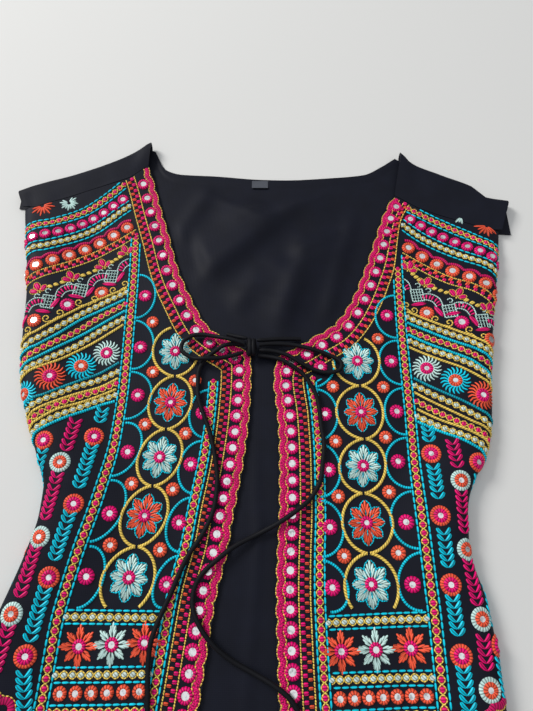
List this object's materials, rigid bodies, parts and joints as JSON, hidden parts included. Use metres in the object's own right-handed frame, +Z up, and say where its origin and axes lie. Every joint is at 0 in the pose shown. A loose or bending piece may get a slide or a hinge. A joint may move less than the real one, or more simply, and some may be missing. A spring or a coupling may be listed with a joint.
{
  "type": "embroidered mirror-work waistcoat",
  "caption": "Sleeveless black cotton waistcoat with mirror-work embroidery on both fronts, tied with a cord bow at the neck and laid flat on its back.",
  "frame": {"origin": "middle of the laid garment's box, on the surface that it lies on; the tie is left out of that box", "axes": "+X across the garment towards its side with the wider shoulder strip, +Y from the hem towards the shoulders, +Z up out of the embroidered fronts"},
  "size_m": [0.436, 0.5078, 0.0138],
  "materials": {
    "black_cotton": "matt plain weave",
    "crimson_satin_stitch": "soft sheen thread",
    "magenta_satin_stitch": "soft sheen thread",
    "gold_satin_stitch": "bright sheen thread",
    "mint_silver_stitch": "bright sheen thread",
    "orange_satin_stitch": "soft sheen thread",
    "grey_label_tape": "woven tape"
  },
  "bodies": {
    "root": {"back_panel": "black_cotton", "front_left": "black_cotton", "scallop_left": "crimson_satin_stitch", "rosettes_left": "magenta_satin_stitch", "oval_left_1": "gold_satin_stitch", "flower_left_1": "mint_silver_stitch", "oval_left_2": "gold_satin_stitch", "flower_left_2": "orange_satin_stitch", "oval_left_3": "gold_satin_stitch", "flower_left_3": "mint_silver_stitch", "oval_left_4": "gold_satin_stitch", "flower_left_4": "orange_satin_stitch", "oval_left_5": "gold_satin_stitch", "flower_left_5": "mint_silver_stitch", "hem_flower_left_1": "orange_satin_stitch", "hem_flower_left_2": "mint_silver_stitch", "hem_flower_left_3": "orange_satin_stitch", "front_right": "black_cotton", "scallop_right": "crimson_satin_stitch", "rosettes_right": "magenta_satin_stitch", "oval_right_1": "gold_satin_stitch", "flower_right_1": "mint_silver_stitch", "oval_right_2": "gold_satin_stitch", "flower_right_2": "orange_satin_stitch", "oval_right_3": "gold_satin_stitch", "flower_right_3": "mint_silver_stitch", "oval_right_4": "gold_satin_stitch", "flower_right_4": "orange_satin_stitch", "oval_right_5": "gold_satin_stitch", "flower_right_5": "mint_silver_stitch", "hem_flower_right_1": "orange_satin_stitch", "hem_flower_right_2": "mint_silver_stitch", "hem_flower_right_3": "orange_satin_stitch", "label_tab": "grey_label_tape", "tie_lead_left": "black_cotton", "tie_loop_left": "black_cotton", "tie_loop_right": "black_cotton", "tie_lead_right": "black_cotton", "tie_tail_left": "black_cotton", "tie_tail_right": "black_cotton", "tie_knot": "black_cotton"}
  },
  "joints": []
}
